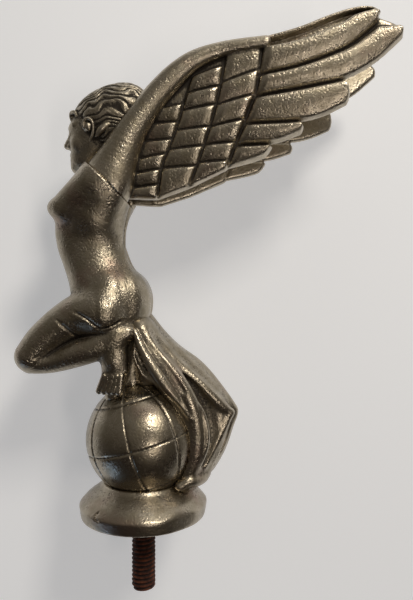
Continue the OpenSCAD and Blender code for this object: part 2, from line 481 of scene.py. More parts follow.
def rusty_steel():
    """Thread steel under a crust of brown rust."""
    material, add, put = nodes_of("rusty_steel")
    where = add("TexCoord").outputs["Object"]
    cloud = add("TexNoise", Vector=where, Scale=420.0, Detail=6.0, Roughness=0.65).outputs["Fac"]
    speck = add("TexNoise", Vector=where, Scale=1800.0, Detail=3.0).outputs["Fac"]
    rust = ramp(add, cloud, [(0.3, (0.020, 0.006, 0.003)), (0.5, (0.085, 0.020, 0.007)),
                             (0.7, (0.20, 0.056, 0.018))])
    root = add("Attribute", {"attribute_name": "fine"}).outputs["Fac"]
    rust = mix(add, between(add, root, -0.4, -0.1, 0.85, 0.0), rust, (0.008, 0.005, 0.004, 1))
    put("Base Color", rust)
    put("Metallic", between(add, cloud, 0.35, 0.6, 0.2, 0.0))
    put("Roughness", between(add, speck, 0.2, 0.8, 0.65, 0.9))
    bump = add("Bump", Strength=0.7, Distance=0.0002, Height=plus(add, cloud, speck))
    put("Normal", bump.outputs[0])
    return material


def drawn_brass():
    """Drawn brass rod, with faint rings and tarnish."""
    material, add, put = nodes_of("drawn_brass")
    where = add("TexCoord").outputs["Object"]
    cloud = add("TexNoise", Vector=where, Scale=300.0, Detail=4.0).outputs["Fac"]
    colour = ramp(add, cloud, [(0.3, (0.32, 0.20, 0.07)), (0.7, (0.62, 0.44, 0.18))])
    put("Base Color", colour)
    put("Metallic", 1.0)
    put("Roughness", between(add, cloud, 0.3, 0.7, 0.45, 0.28))
    bump = add("Bump", Strength=0.3, Distance=0.0001, Height=cloud)
    put("Normal", bump.outputs[0])
    return material


# ---------------------------------------------------------------- shared places

# A place on the seam at the shoulder, as [y, z], and the direction out of it towards the wing
SEAM = np.array([-10.5, 108.6])
SEAM_OUT = np.array([0.698, 0.716])
# Hairlines left where the castings meet
SEAM_GAP = 0.05
SEAT_GAP = 0.02
NECK_HALF = 4.7
NECK_Y = -13.6
GLOBE_LOW, GLOBE_HIGH = node_mm("globe")
GLOBE_R = (GLOBE_HIGH[0] - GLOBE_LOW[0]) / 2
GLOBE_MID = np.array([0, 0, GLOBE_HIGH[2] - GLOBE_R])
# The hair and the bun, which the wings are hollowed for
HAIR = ([0, -10.2, 130.9], [10.9, 14.0, 11.2], 22)
BUN = ([0, -5.2, 134.0], [9.4, 7.4, 8.2])


def seam_height(y, z):
    """How far a place is over the seam, on the wing's side."""
    return (y - SEAM[0]) * SEAM_OUT[0] + (z - SEAM[1]) * SEAM_OUT[1]


# ---------------------------------------------------------------- figure

# Sections of the torso, as [z, middle y, half depth, half width]
TORSO = [[60, -8.0, 9.0, 10.0], [66, -9.4, 11.6, 12.0], [72, -10.9, 12.8, 12.4],
         [77, -12.6, 12.2, 11.4], [82, -15.0, 11.4, 10.0], [88, -17.1, 11.4, 9.2],
         [94, -17.6, 11.8, 9.6], [100, -16.8, 12.0, 10.6], [105, -15.4, 11.4, 11.6],
         [109, -14.4, 9.2, 11.6], [114, -13.6, 5.4, 9.0]]
# Limbs and creases of the left side, as [x, y, z, radius]
THIGH = [[6.4, -12.0, 67.2, 8.8], [6.6, -19.5, 66.3, 7.2], [7.0, -26.0, 62.8, 6.2],
         [7.2, -31.6, 58.0, 5.7], [7.2, -35.2, 53.2, 5.5]]
CALF = [[7.4, -35.0, 52.2, 4.8], [8.2, -28.6, 51.4, 3.6], [8.8, -20.4, 54.1, 4.4],
        [9.0, -13.0, 56.9, 4.6], [9.0, -6.8, 60.4, 4.0]]
CREASE = [[12.6, -33.0, 52.9, 0.1], [13.2, -25.3, 56.6, 0.25], [13.8, -20.0, 58.8, 0.35],
          [14.4, -15.3, 60.6, 0.4], [14.2, -11.2, 62.4, 0.45], [13.2, -7.5, 64.0, 0.5],
          [11.8, -3.0, 65.2, 0.6]]
# Fine folds in the thigh's flank, as [y, z, depth]
THIGH_FOLDS = [[[-20.6, 67.9, 0.0], [-18.4, 66.8, 0.5], [-15.8, 65.3, 0.6], [-12.2, 62.4, 0.5]],
               [[-26.8, 66.0, 0.0], [-24.2, 63.8, 0.4], [-21.2, 61.0, 0.5], [-18.6, 58.8, 0.4]]]
FOLD_WIDE = 0.4
HIP_VALLEY = [[10.2, -7.4, 81.6, 0.1], [12.0, -6.0, 77.6, 0.15],
              [13.2, -5.0, 73.7, 0.2], [13.4, -4.4, 69.6, 0.3], [12.6, -3.6, 66.2, 0.5]]
HIP_ROLL = [[2.6, -7.4, 86.5, 0.6], [4.2, -5.2, 81.0, 0.9], [7.2, -3.2, 76.6, 1.1],
            [7.4, -2.2, 72.5, 1.2], [7.6, -2.4, 68.7, 1.1], [7.8, -3.6, 66.2, 0.9]]
BEHIND_FOOT = [[5.6, -4.2, 60.0, 2.6], [4.0, -3.6, 52.0, 2.4], [3.4, -3.2, 42.0, 2.4]]
TOES = 5


def foot(clay, side):
    """A foot on its toes on the globe, with the instep to the front and outwards."""
    def at(x, y, z):
        return [side * x, y, z]

    clay.add(limb(at(8.9, -7.6, 59.5), 4.3, at(8.4, -8.2, 52), 4.0), 2.0)
    clay.add(limb(at(8.4, -8.2, 52), 4.0, at(7.6, -8.5, 47.2), 4.2), 2.0)
    clay.add(limb(at(6.8, -8.6, 47), 3.4, at(6.2, -8.6, 40.0), 3.2), 1.0)
    clay.add(ball(at(9.8, -3.9, 60.9), 2.6), 1.2)
    # Heel, and toes
    clay.add(limb(at(10.0, -6.0, 55), 1.6, at(9.6, -5.6, 49), 2.0), 1.2)
    for i in range(TOES):
        spread = i / (TOES - 1)
        top = at(10.8 + 0.6 * spread, -11.2 + 5.4 * spread, 47.4 - 0.3 * spread)
        tip = at(9.4 + 1.8 * spread, -13.2 + 6.8 * spread, 42.2 - 0.2 * spread)
        clay.add(limb(top, 0.95, tip, 1.1 + 0.15 * spread), 0.12)


def press(line, y, z):
    """Depth of a fine line, given as [y, z, depth] points, that is pressed into a flank."""
    near = FAR + 0 * y * z
    depth = 0 * near
    p = curve(line, 5)
    for a, b in zip(p[:-1], p[1:]):
        ey, ez = b[0] - a[0], b[1] - a[1]
        t = np.clip(((y - a[0]) * ey + (z - a[1]) * ez) / (ey * ey + ez * ez), 0, 1)
        off = np.sqrt((y - a[0] - t * ey) ** 2 + (z - a[1] - t * ez) ** 2)
        depth = np.where(off < near, a[2] + t * (b[2] - a[2]), depth)
        near = np.minimum(near, off)
    return depth * np.exp(-(near / FOLD_WIDE) ** 2)


def figure():
    """Torso, hips, legs and feet, which are one casting."""
    low, high = node_mm("figure")
    clay = Clay(low - 3, high + (3, 3, 6), 0.34)
    clay.add(tower(TORSO, 2.15))
    # Chest, in one slope with the raised arms
    clay.add(both(limb, [8.4, -15.0, 108.2], 6.4, [6.0, -25.2, 101.2], 4.5), 3)
    clay.add(both(limb, [6.0, -24.6, 100.4], 4.6, [5.8, -28.2, 101.2], 2.4), 1.6)
    # Shoulders, up to the seams
    clay.add(both(limb, [6.2, -15.4, 99.5], 7.2, [7.9, -9.8, 110.0], 8.6, 0.78), 4)
    # Spine, the line down the front, and navel
    clay.cut(rope([[0, -4.0, 104, 0.9], [0, -6.2, 95, 1.1], [0, -6.2, 87, 1.0], [0, -1.5, 77, 0.8]]),
             2.5)
    clay.cut(limb([0, -29.2, 97], 0.7, [0, -27.4, 84], 0.5), 2)
    clay.cut(ball([0, -25.8, 80.5], 0.9), 0.8)
    # Hips, with a soft roll down the back of each
    clay.add(both(egg, [6.0, -10.6, 72.0], [7.4, 7.8, 9.4], -14), 2.0)
    clay.add(both(egg, [3.4, -4.6, 71.0], [6.0, 6.4, 8.8], -12), 4.0)
    clay.cut(both(rope, HIP_VALLEY), 2.0)
    clay.add(both(rope, HIP_ROLL), 2.6)
    clay.cut(limb([0, 4.4, 76], 0.5, [0, 2.4, 64], 1.0), 2)
    # Legs, folded under
    clay.add(both(rope, THIGH, 6, 1.12), 1.6)
    for fold in THIGH_FOLDS:
        clay.everywhere(lambda d, x, y, z: d + press(fold, y, z) * step(8, 10, np.abs(x)))
    clay.cut(both(rope, CREASE), 0.6)
    clay.add(both(rope, CALF), 0.25)
    # Cloth behind the feet, where the drapery begins
    clay.add(both(rope, BEHIND_FOOT), 0.4)
    for side in (1, -1):
        foot(clay, side)
    # Neck, between the wing castings
    clay.add(limb([0, NECK_Y, 108], 4.9, [0, NECK_Y, 119], 4.4), 3)

    # Faces where the wings, the globe and the head are set on
    def seat(d, x, y, z):
        neck = np.sqrt(x * x + (y - NECK_Y) ** 2) - NECK_HALF
        return np.maximum(d, np.minimum(seam_height(y, z), neck))

    clay.everywhere(seat)
    clay.cut(ball(GLOBE_MID, GLOBE_R + SEAT_GAP))
    cast("figure_casting", ["figure"], clay, worn_nickel("nickel_body", rough=0.28))


# ---------------------------------------------------------------- head

STRAND_DEG = 7.6
# The hairline over the brow, as the distance of its slanting plane from the origin, in metres
HAIRLINE = 0.0609


def hair_wave(x, y, z, stray):
    """Strands combed back along Y, as a height of -1 to 1."""
    angle = np.degrees(np.arctan2(np.abs(x), z - 124))
    swing = 3.2 * np.sin(y * 0.5 + 0.4) + 1.2 * np.sin(y * 1.1 + z * 0.25) + 8.0 * stray
    lock = np.abs(np.sin(np.pi * (angle + swing) / STRAND_DEG))
    thread = np.sin(2 * np.pi * (angle + 1.3 * swing) / STRAND_DEG * 2)
    # Flat at the crown's back, where the strands meet, and parted in the middle
    fade = step(1.0, 5.0, np.sqrt(x * x + (z - 124) ** 2))
    return (1.3 * lock - 0.65 + 0.22 * thread) * fade - 1.2 * np.exp(-(x / 0.7) ** 2)


def head():
    low, high = node_mm("head")
    clay = Clay(low - 2.5, high + 2.5, 0.22)
    clay.add(egg([0, -12.6, 129.0], [9.4, 11.4, 11.6]))
    clay.add(egg([0, -17.2, 123.6], [7.2, 7.2, 9.8], 6), 3)
    clay.add(egg([0, -19.8, 117.4], [4.6, 4.4, 4.0]), 3)
    # Brow, nose, cheeks
    clay.add(both(limb, [1.6, -23.8, 128.2], 0.9, [5.6, -22.0, 128.3], 0.8), 1.4)
    clay.add(limb([0, -23.8, 127.4], 0.8, [0, -25.5, 122.9], 1.25), 1.2)
    clay.add(both(ball, [1.0, -24.5, 122.4], 0.85), 0.6)
    clay.add(both(egg, [4.4, -21.0, 122.2], [2.4, 2.2, 2.6]), 1.8)
    # Lowered eyelids in shallow sockets
    clay.cut(both(egg, [3.0, -25.3, 125.9], [2.1, 1.5, 1.3]), 1.2)
    clay.add(both(egg, [3.0, -23.1, 125.7], [1.7, 1.1, 1.1]), 0.35)
    clay.cut(both(rope, [[1.7, -23.7, 125.2, 0.12], [3.0, -24.0, 124.9, 0.14],
                         [4.4, -23.2, 125.3, 0.12]]), 0.2)
    # Mouth and chin
    clay.add(rope([[-2.0, -22.9, 119.4, 0.45], [0, -24.0, 119.7, 0.7], [2.0, -22.9, 119.4, 0.45]]), 0.6)
    clay.add(rope([[-1.7, -22.6, 118.3, 0.45], [0, -23.6, 118.1, 0.75], [1.7, -22.6, 118.3, 0.45]]), 0.6)
    clay.cut(rope([[-2.1, -23.4, 118.95, 0.12], [0, -24.7, 118.9, 0.16], [2.1, -23.4, 118.95, 0.12]]), 0.25)
    clay.add(egg([0, -22.2, 115.4], [2.4, 1.9, 1.9]), 1.4)

    # Hair, swept back from the brow and temples in waves
    stray = soft_noise(clay.d.shape, 22, 5)

    def hair(x, y, z):
        cap = egg(*HAIR)[2](x, y, z)
        bun = egg(*BUN)[2](x, y, z)
        nape = egg([0, -6.4, 125.6], [9.4, 7.4, 8.6])[2](x, y, z)
        # Cut off along the hairline over the brow and before the ears
        whole = smooth_min(smooth_min(cap, bun, 4), nape, 4)
        brow = -0.80 * (y + 22.6) - 0.60 * (z - 131.6) + 0.035 * x * x
        temple = -0.94 * (y + 16.4) - 0.34 * (z - 124.0)
        edge = np.minimum(brow, temple + 0 * x)
        return -smooth_min(-(whole - 0.36 * hair_wave(x, y, z, stray)), -edge, 1.2)

    clay.everywhere(lambda d, x, y, z: smooth_min(d, hair(x, y, z), 0.3))
    # A curl on the forehead, a curl in front of each ear, and a lock behind it
    clay.add(both(rope, [[2.4, -23.3, 130.0, 0.4], [3.4, -23.7, 131.4, 0.5], [4.4, -23.2, 132.6, 0.6],
                         [5.6, -21.8, 132.4, 0.55], [6.2, -21.0, 130.8, 0.4]]), 0.3)
    clay.add(both(rope, [[8.8, -17.4, 125.2, 0.35], [9.6, -18.2, 126.6, 0.45],
                         [10.1, -17.8, 128.2, 0.5], [10.4, -16.6, 128.8, 0.5],
                         [10.4, -15.3, 128.0, 0.5], [10.1, -14.9, 126.2, 0.45],
                         [9.6, -15.2, 124.0, 0.45], [8.9, -16.2, 122.2, 0.35]]), 0.2)
    clay.add(both(egg, [9.4, -16.6, 126.6], [1.0, 1.2, 1.6]), 0.3)
    clay.add(both(rope, [[9.6, -14.0, 123.4, 0.4], [10.0, -12.6, 125.2, 1.1],
                         [10.2, -10.8, 126.6, 1.0], [10.0, -9.2, 127.6, 0.4]]), 0.2)
    clay.cut(limb([0, NECK_Y, 100], NECK_HALF - 0.28, [0, NECK_Y, 119], 4.4))
    metal = worn_nickel("nickel_hair", rough=0.38, grain=0.8, dark=1.5, soil=0.13, hairline=HAIRLINE)
    cast("head_casting", ["head"], clay, metal)


# ---------------------------------------------------------------- wings

# The blade's inner face starts at ROOT_X and leans out by YAW, and its rim is rounded by EDGE_R
ROOT_X = 4.4
YAW = 0.105
BLADE_T = 2.5
EDGE_R = 1.3
RELIEF = 1.8
# How much higher than a small feather a long one stands
LONG_RELIEF = 1.25
ROWS = 6
# The channel's back, from and to, over the blade's inner face
SHEET = (-0.7, 0.4)
FAR_WING_SAG = 0.008

# Lines between the columns of small feathers, as [y, z] from top to bottom
COLUMN_LINES = [[[34, 152.5], [22, 148.5], [15.5, 144], [10, 138.3], [6, 133.3], [2, 126.2],
                 [-1.2, 118.6], [-3.8, 110], [-4.8, 104]],
                [[16.8, 144], [14.9, 138.4], [12.7, 130], [10, 122.2], [7.4, 115.8], [6.2, 111],
                 [5.4, 103.5]],
                [[27.4, 151], [26, 142], [23.8, 131.8], [21.3, 123.4], [18.8, 116], [15.6, 107.5]],
                [[38.8, 152], [37.2, 138.4], [34.9, 132.2], [32.6, 126], [30.4, 120.6],
                 [27.6, 112.4]]]
# Heights of the row edges on each column's front and back line, from the top down
ROW_EDGES = [[[132.5, 127.9, 122.3, 116.5, 111.8, 107.1, 102.6],
              [134.3, 128.4, 122.9, 118.4, 113.4, 108.5, 102.8]],
             [[142.5, 137.3, 131.8, 125.6, 119.5, 113.7, 103.6],
              [146.0, 139.4, 133.7, 126.6, 120.6, 114.2, 107.4]],
             [[149.5, 140.3, 133.2, 126.3, 120.6, 115.1, 107.6],
              [152.5, 144.4, 136.4, 128.7, 121.5, 115.6, 111.8]]]
# Edges between the long feathers, as [y, z] outwards
PRIMARY_EDGES = [[[37, 151.0], [50, 153.2], [62, 157.6], [67, 160.2], [73, 161.6]],
                 [[37, 142.2], [50, 144.6], [63.8, 149.3], [70.2, 153.3], [73.4, 155.9]],
                 [[36, 135.4], [47, 137], [56, 138.5], [65, 140.4], [74, 145.2], [82, 152.2]],
                 [[33, 127], [50, 127.4], [58, 129], [65, 132.1]],
                 [[30, 120.2], [42.4, 120.7], [51, 123.4]],
                 [[27, 112.8], [38.7, 115.9], [42, 119.2]]]
PRIMARY_TIPS = [[[73, 161.6], [74.7, 160.0], [74.6, 157.8], [73.4, 155.9]],
                [[74.2, 159.4], [79.4, 157.2], [82, 155], [82, 152.2]],
                [[64.6, 140.0], [65.8, 137.6], [65.9, 134.4], [65, 132.1]],
                [[50.6, 127.6], [51.8, 125.6], [51, 123.4]],
                [[41.2, 120.4], [42.2, 119.6]]]


def along(line, z):
    """The y of a [y, z] line at the height z."""
    p = curve(line, 6)
    order = np.argsort(p[:, 1])
    return np.interp(z, p[order, 1], p[order, 0])


def tile_height(t, s, soft=0.07, floor=0.3):
    """A feather's profile from its upper edge (t = 0) to its lower one, and from end to end in s.

    A groove about soft wide runs round it, and beside the groove it stands floor high.
    """
    t = np.clip(t, 0, 1)
    pillow = 1 - np.abs(2 * t ** 0.55 - 1) ** 2.4
    ends = step(-0.02, 4 * soft, s) * step(-0.02, 4 * soft, 1 - s)
    groove = step(0, soft, t) * step(0, soft, 1 - t) * step(0, soft, s) * step(0, soft, 1 - s)
    return groove * (floor + (1 - floor) * pillow * (0.5 + 0.5 * ends))


def polygon_distance(points, y, z):
    """Signed distance to a closed outline of [y, z] points, negative inside."""
    nearest = np.full(np.broadcast(y, z).shape, 1e9)
    inside = np.zeros(nearest.shape, bool)
    for (ay, az), (by, bz) in zip(points, np.roll(points, -1, axis=0)):
        ey, ez = by - ay, bz - az
        t = np.clip(((y - ay) * ey + (z - az) * ez) / max(ey * ey + ez * ez, 1e-9), 0, 1)
        nearest = np.minimum(nearest, (y - ay - t * ey) ** 2 + (z - az - t * ez) ** 2)
        if az != bz:
            crosses = (az > z) != (bz > z)
            inside ^= crosses & (y < (z - az) * ey / (bz - az) + ay)
    return np.where(inside, -1, 1) * np.sqrt(nearest)


class WingRelief:
    """Heights of the outer face, and the outline, on a fine [y, z] grid."""
    LOW = np.array([-8.0, 99.0])
    HIGH = np.array([86.0, 166.0])
    CELL = 0.14

    def __init__(self):
        n = np.ceil((self.HIGH - self.LOW) / self.CELL).astype(int) + 1
        y = self.LOW[0] + self.CELL * np.arange(n[0])
        z = self.LOW[1] + self.CELL * np.arange(n[1])
        self.y, self.z = np.meshgrid(y, z, indexing="ij")
        self.height = np.zeros(self.y.shape)
        self.rim = np.full(self.y.shape, 30.0)
        self.small_feathers()
        self.long_feathers()
        self.sheet = self.channel()
        self.height = blur(self.height, 1, 2)
        self.rim = blur(self.rim, 2, 2)

    def small_feathers(self):
        for c in range(3):
            left, right = COLUMN_LINES[c], COLUMN_LINES[c + 1]
            y_left = along(left, self.z)
            y_right = along(right, self.z)
            s = (self.y - y_left) / np.maximum(y_right - y_left, 0.5)
            column = (s > 0) & (s < 1)
            tops = [[(along(line, level), level) for level in levels]
                    for line, levels in zip((left, right), ROW_EDGES[c])]
            for k in range(ROWS):
                (y0, z0), (y1, z1) = tops[0][k], tops[1][k]
                (y2, z2), (y3, z3) = tops[0][k + 1], tops[1][k + 1]
                upper = z0 + (z1 - z0) * (self.y - y0) / (y1 - y0)
                lower = z2 + (z3 - z2) * (self.y - y2) / (y3 - y2)
                t = (upper - self.z) / np.maximum(upper - lower, 0.3)
                tile = column & (t >= 0) & (t < 1)
                # No two hand-cut feathers are alike
                uneven = 1 + 0.16 * math.sin(5.1 * k + 2.3 * c) + 0.12 * math.sin(1.7 * k - 4 * c) * s
                self.height[tile] = (tile_height(t, s) * uneven)[tile]
        body = np.vstack([curve(COLUMN_LINES[0], 6), [[5.4, 103.5]], [[15.6, 107.0]],
                          [[27.6, 112.6]], curve(COLUMN_LINES[3], 6)[::-1]])
        self.rim = np.minimum(self.rim, polygon_distance(body, self.y, self.z))

    def long_feathers(self):
        # From the lowest up, so that each lies over the one below it
        for k in reversed(range(len(PRIMARY_TIPS))):
            top, bottom = curve(PRIMARY_EDGES[k]), curve(PRIMARY_EDGES[k + 1])
            tip = curve(PRIMARY_TIPS[k])
            upper = top if k == 0 else top[top[:, 0] < tip[0, 0]]
            outline = np.vstack([upper, tip, bottom[bottom[:, 0] < tip[-1, 0]][::-1]])
            rim = polygon_distance(outline, self.y, self.z)
            y_start = along(COLUMN_LINES[3], self.z)
            z_top = np.interp(self.y, top[:, 0], top[:, 1])
            z_low = np.interp(self.y, bottom[:, 0], bottom[:, 1])
            t = np.clip((z_top - self.z) / np.maximum(z_top - z_low, 0.5), 0, 1)
            s = np.clip((self.y - y_start) / 10, 0, 1)
            level = tile_height(t, np.minimum(s, 0.5), floor=0.1) * step(0, 1.0, -rim)
            inside = (rim < 0) & (self.y > y_start)
            self.height[inside] = level[inside] * LONG_RELIEF
            self.rim = np.minimum(self.rim, rim)

    def channel(self):
        """The sheet behind the first long feather, which stands above it as the channel's back."""
        outline = np.vstack([curve([[36, 153.6], [50, 156.4], [60, 160.0], [67, 162.0], [71.6, 162.2]]),
                             curve([[73.4, 161.2], [67, 158.6], [50, 151.6], [36, 148.6]])])
        return polygon_distance(outline, self.y, self.z)

    def at(self, a, y, z):
        """Values of one of the arrays over a grid's y and z."""
        return look_up(a, (y - self.LOW[0]) / self.CELL, (z - self.LOW[1]) / self.CELL)


# The arm, which runs on as the wing's leading edge, as [x, y, z, radius]
ARM = [[7.8, -13.4, 104.6, 8.8], [8.2, -10.2, 109.8, 8.3], [9.0, -7.6, 115.6, 6.6],
       [9.4, -3.4, 124.2, 5.1], [9.4, 1.0, 131.0, 4.4], [9.4, 6.2, 137.8, 4.0],
       [9.6, 12.0, 143.6, 3.7], [10.0, 18.0, 147.9, 3.0], [10.6, 26.0, 150.6, 2.4],
       [11.4, 33.0, 151.7, 2.1], [12.0, 39.6, 152.4, 1.9]]
ARM_WIDE = 0.78
CHANNEL_RIM = [[9.7, 38, 153.4, 0.9], [10.9, 50, 156.3, 0.85], [12.0, 60, 159.8, 0.8],
               [12.8, 67, 161.7, 0.7], [13.4, 71.8, 161.8, 0.65], [14.0, 74.2, 160.2, 0.8]]
RIM_WIDE = 2.4


def wing_field():
    """The near wing with its arm, as far as the seam at the shoulder."""
    low, high = node_mm("left_wing")
    clay = Clay(low - 2, high + (3, 3, 3), 0.32)
    relief = WingRelief()

    def blade(x, y, z):
        yz = np.broadcast_arrays(y[0], z[0])
        rim = relief.at(relief.rim, *yz)
        height = relief.at(relief.height, *yz)
        round_off = EDGE_R - np.sqrt(np.maximum(EDGE_R ** 2 - np.maximum(EDGE_R + rim, 0) ** 2, 0))
        thin = 0.5 * step(40, 80, yz[0])
        outer = BLADE_T - thin + RELIEF * height - round_off
        inner = x - ROOT_X - YAW * yz[0]
        sheet = relief.at(relief.sheet, *yz)
        front = np.maximum(np.maximum(inner - outer, round_off - inner), rim)
        behind = np.maximum(np.maximum(inner - SHEET[1], SHEET[0] - inner), sheet)
        return np.minimum(front, behind)

    clay.add((low - 2, high + 3, blade))
    # The leading edge beyond the arm is a channel, open to the front, behind a thin rim
    clay.add(rope(CHANNEL_RIM, 6, RIM_WIDE), 0.3)
    clay.add(rope(ARM, 5, ARM_WIDE), 0.5)
    clay.everywhere(lambda d, x, y, z: np.maximum(d, SEAM_GAP - seam_height(y, z)))
    # Room for the neck and the hair between the two wings
    clay.cut(([-5, -40, 95], [9, 3, 150], lambda x, y, z: np.maximum(x - NECK_HALF, y - 2)), 0.8)
    clay.cut(egg(*HAIR))
    clay.cut(egg(*BUN))
    return clay


def wings():
    clay = wing_field()
    metal = worn_nickel("nickel_feathers", rough=0.31, grain=0.8)
    cast("left_wing_casting", ["left_wing"], clay, metal)
    cast("right_wing_casting", ["right_wing"], clay, metal, mirror=True, sag=FAR_WING_SAG)


# ---------------------------------------------------------------- drapery

# Ropes of cloth on the figure's left side, as [x, y, z, radius] from the hip down
CLOTH = [[[5.6, -0.6, 61.5, 4.6], [6.2, 3.0, 53.0, 4.8], [6.6, 10.5, 43.6, 5.0],
          [6.8, 16.0, 33.0, 4.8], [6.2, 16.6, 22.0, 4.6], [5.0, 13.6, 12.0, 4.0]],
         [[2.0, -0.6, 62.6, 3.4], [2.4, 5.0, 57.0, 3.6], [2.6, 13.6, 49.4, 3.8],
          [2.6, 21.0, 41.0, 4.2], [2.4, 24.6, 33.0, 4.4], [2.2, 22.4, 22.0, 4.0],
          [2.0, 17.4, 13.0, 3.4]],
         [[4.4, -1.4, 60.0, 3.2], [3.2, 0.0, 50.0, 3.0], [3.0, 1.0, 44.0, 2.8]]]
FLAP = [[10.8, -1.7, 61.4, 0.9], [11.6, 0.9, 55.6, 1.3], [12.0, 4.0, 50.3, 1.8],
        [12.2, 7.2, 45.7, 2.0], [12.0, 10.4, 41.6, 1.7], [11.6, 13.2, 38.2, 1.1],
        [11.4, 16.0, 34.0, 0.8]]
BAND = [[8.4, 0.4, 61.6, 2.0], [9.2, 3.9, 55.3, 2.4], [9.6, 8.4, 50.0, 2.7],
        [9.8, 12.8, 44.2, 2.9], [9.8, 15.8, 38.8, 2.9], [9.4, 17.6, 33.2, 2.5],
        [8.9, 18.4, 27.2, 2.2], [8.4, 17.8, 21.8, 2.2], [7.8, 15.8, 16.6, 2.3]]
EDGE = [[9.6, 13.2, 43.9, 0.5], [10.0, 18.1, 38.3, 0.9], [9.8, 20.6, 32.7, 1.0],
        [9.4, 21.2, 26.3, 1.0], [8.8, 20.0, 21.5, 1.0], [8.0, 17.4, 16.7, 1.0]]
RIDGE = [[5.6, 4.4, 58.6, 1.6], [6.4, 8.0, 54.3, 1.9], [7.0, 12.5, 49.6, 2.1],
         [7.2, 17.4, 45.2, 2.1], [6.8, 22.2, 40.8, 1.9], [5.8, 26.0, 37.0, 1.6],
         [4.6, 29.0, 34.4, 1.1]]
RETURN = [[4.6, 29.0, 34.4, 1.1], [5.0, 27.2, 30.7, 1.2], [5.4, 24.9, 26.4, 1.3],
          [5.6, 22.6, 22.2, 1.3], [5.4, 20.2, 17.9, 1.4], [5.2, 18.4, 15.0, 1.4]]
HEM = [[0, 1.0, 65.4, 2.0], [0, 5.2, 59.8, 1.9], [0, 10.4, 54.0, 1.9], [0, 16.8, 50.2, 1.9],
       [0, 20.6, 46.4, 2.0], [0, 25.0, 40.9, 2.0], [0, 29.2, 35.6, 1.8], [0, 30.0, 33.4, 1.7],
       [0, 28.2, 29.0, 1.8], [0, 25.6, 22.4, 1.9], [0, 22.0, 16.4, 2.0]]
VALLEYS = [[[8.4, 9.6, 50.9, 0.5], [9.0, 13.4, 46.9, 0.8], [9.2, 17.2, 43.2, 1.1],
            [9.2, 20.6, 38.4, 1.4], [8.8, 22.8, 33.6, 1.5], [8.6, 23.4, 28.6, 1.4],
            [8.2, 22.2, 23.0, 1.0], [7.6, 20.0, 18.4, 0.7]],
           [[11.8, 3.2, 57.2, 0.2], [12.4, 7.2, 52.2, 0.3], [12.8, 10.8, 47.4, 0.35],
            [12.6, 14.0, 42.4, 0.3]],
           [[9.4, 4.0, 61.0, 0.3], [9.8, 7.0, 57.4, 0.5], [9.8, 10.0, 53.6, 0.4]],
           [[4.4, 7.8, 60.4, 0.3], [5.0, 15.4, 54.0, 0.5], [5.2, 22.0, 47.8, 0.5],
            [4.4, 27.8, 39.8, 0.3]],
           [[3.0, 29.2, 30.4, 0.3], [3.4, 26.4, 24.0, 0.5], [3.4, 22.8, 17.4, 0.5]]]
# The hollow under the flap's lower front edge
UNDER_FLAP = [[9.6, -2.6, 60.0, 1.2], [8.8, -0.8, 54.0, 2.2], [8.4, 1.8, 48.4, 2.6],
              [9.0, 4.6, 43.6, 1.8]]
SCROLL = [[9.8, 12.6, 12.0, 1.6], [9.0, 15.6, 13.4, 1.9], [7.4, 17.6, 13.0, 2.0],
          [4.0, 19.4, 13.2, 2.3], [0, 20.0, 13.2, 2.3]]


def drapery():
    low, high = node_mm("drapery")
    clay = Clay(low - 2, high + 2, 0.34)
    for places in CLOTH:
        clay.add(both(rope, places, 4), 3.0)
    clay.add(rope(HEM, 4), 2.0)
    for places, k in ((BAND, 1.4), (RIDGE, 1.6), (RETURN, 1.2), (SCROLL, 0.8)):
        clay.add(both(rope, places, 4), k)
    for places in VALLEYS:
        clay.cut(both(rope, places, 4), 1.2)
    clay.cut(both(rope, UNDER_FLAP, 4), 0.6)
    clay.add(both(rope, EDGE, 4), 0.7)
    clay.add(both(rope, FLAP, 4), 0.5)
    clay.cut(ball(GLOBE_MID, GLOBE_R + SEAT_GAP))
    clay.cut(([-25, -25, -2], [25, 25, 13], lambda x, y, z: plinth_distance(x, y, z) - SEAT_GAP))
    clay.everywhere(lambda d, x, y, z: np.maximum(d, low[1] - y))
    cast("drapery_casting", ["drapery"], clay, worn_nickel("nickel_cloth", rough=0.30, grain=0.7))


# ---------------------------------------------------------------- globe, plinth, stud

PLINTH_PROFILE = [[0, 11.0], [11.6, 11.5], [13.4, 11.3], [14.6, 9.9], [16.8, 8.2], [18.8, 6.7],
                  [20.3, 5.2], [21.0, 4.3], [21.1, 3.6], [20.6, 0.6], [20.1, 0.0], [0, 0.0]]


def plinth_distance(x, y, z):
    """Distance to the plinth, a turned body, over its profile of [radius, z] points."""
    outline = np.vstack([PLINTH_PROFILE[0], curve(PLINTH_PROFILE[1:-1], 5), PLINTH_PROFILE[-1]])
    # Worked out on a flat grid of radius and height, and looked up from that
    cell, low_z = 0.12, -6
    radii = np.arange(0, 30, cell)
    heights = np.arange(low_z, 18, cell)
    flat = polygon_distance(outline, radii[:, None], heights[None, :])
    r, z = np.broadcast_arrays(np.sqrt(x * x + y * y), z)
    return look_up(flat, r / cell, (z - low_z) / cell)


